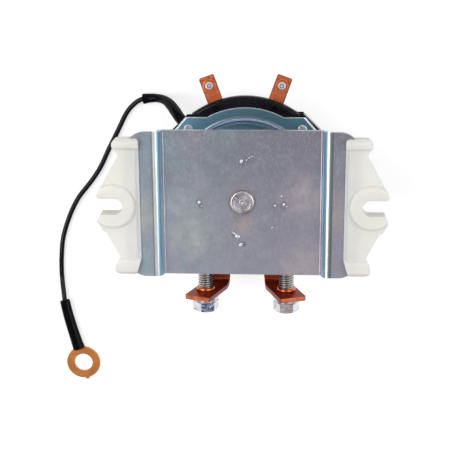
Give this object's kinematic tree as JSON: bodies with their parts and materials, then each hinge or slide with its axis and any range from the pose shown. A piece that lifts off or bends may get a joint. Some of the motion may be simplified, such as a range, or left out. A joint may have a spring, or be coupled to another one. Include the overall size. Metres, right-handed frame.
{
  "type": "battery isolator relay",
  "caption": "Battery isolator relay: round solenoid can on a joggled steel bracket with slotted nylon feet, bent copper main terminals, signal tabs and a sleeved earth lead",
  "frame": {"origin": "centre of the front cover's resting face, on the relay's axis", "axes": "+Z along the relay's axis from the cover to the bracket, +X from the left foot to the right foot, +Y towards the signal tabs, away from the main terminals"},
  "size_m": [0.1763, 0.1819, 0.0813],
  "materials": {
    "zinc_plate": "blue-grey zinc plate, satin",
    "nylon": "natural nylon, satin, slightly translucent",
    "can_steel": "blue-passivated steel, satin",
    "bare_steel": "bare steel, satin",
    "bright_steel": "bright nickel plate, polished",
    "spring_steel": "zinc-plated spring steel",
    "copper_bar": "copper, darkened by heat, satin",
    "copper_tab": "bright copper, satin",
    "copper_disc": "bare copper",
    "contact_silver": "silver alloy",
    "bronze_ring": "copper alloy, matt",
    "moulding": "black phenolic moulding, glossy",
    "bobbin_nylon": "natural nylon",
    "winding": "enamelled copper wire",
    "fibre": "vulcanised fibre",
    "phenolic": "brown phenolic",
    "gasket_rubber": "black sheet rubber",
    "black_rubber": "black rubber, satin",
    "black_sleeving": "black heat-shrink and wire insulation, glossy"
  },
  "bodies": {
    "relay": {"bracket": "zinc_plate", "left_foot": "nylon", "right_foot": "nylon", "can": "can_steel", "core": "bare_steel", "pole_plate": "bare_steel", "bobbin": "bobbin_nylon", "coil": "winding", "stop_washer": "fibre", "return_spring": "spring_steel", "terminal_base": "moulding", "flange_gasket": "gasket_rubber", "front_cover": "moulding", "left_bar": "copper_bar", "right_bar": "copper_bar", "left_contact_tip": "contact_silver", "right_contact_tip": "contact_silver", "left_bolt": "bright_steel", "right_bolt": "bright_steel", "left_spring_washer": "spring_steel", "right_spring_washer": "spring_steel", "left_plain_washer": "bright_steel", "right_plain_washer": "bright_steel", "left_signal_tab": "copper_tab", "right_signal_tab": "copper_tab", "left_signal_screw": "bright_steel", "right_signal_screw": "bright_steel", "left_screw_washer": "spring_steel", "right_screw_washer": "spring_steel", "grommet": "black_rubber", "lead_sleeve": "black_sleeving", "lead_wire": "black_sleeving", "end_sleeve": "black_sleeving", "ring_terminal": "bronze_ring", "ear_rivet_1": "bright_steel", "cover_screw_1": "bright_steel", "ear_rivet_2": "bright_steel", "cover_screw_2": "bright_steel", "ear_rivet_3": "bright_steel", "cover_screw_3": "bright_steel", "ear_rivet_4": "bright_steel", "cover_screw_4": "bright_steel"},
    "plunger_set": {"plunger": "bare_steel", "plunger_rod": "bare_steel", "insulating_bush": "phenolic", "spring_seat": "phenolic", "rod_clip": "spring_steel", "contact_spring": "spring_steel"},
    "disc": {"contact_disc": "copper_disc"}
  },
  "joints": [
    {"name": "plunger_slide", "type": "slide", "parent": "relay", "child": "plunger_set", "axis": [0, 0, 1], "range_m": [0, 0.0026], "stiffness_N_per_m": 1500, "springref_m": -0.0027, "deforming": ["return_spring"]},
    {"name": "contact_disc_slide", "type": "slide", "parent": "plunger_set", "child": "disc", "axis": [0, 0, 1], "range_m": [-0.00075, 0], "deforming": ["contact_spring"]}
  ],
  "couplings": [
    {"joint": "contact_disc_slide", "follows": "plunger_slide", "ratio": -0.2885}
  ]
}
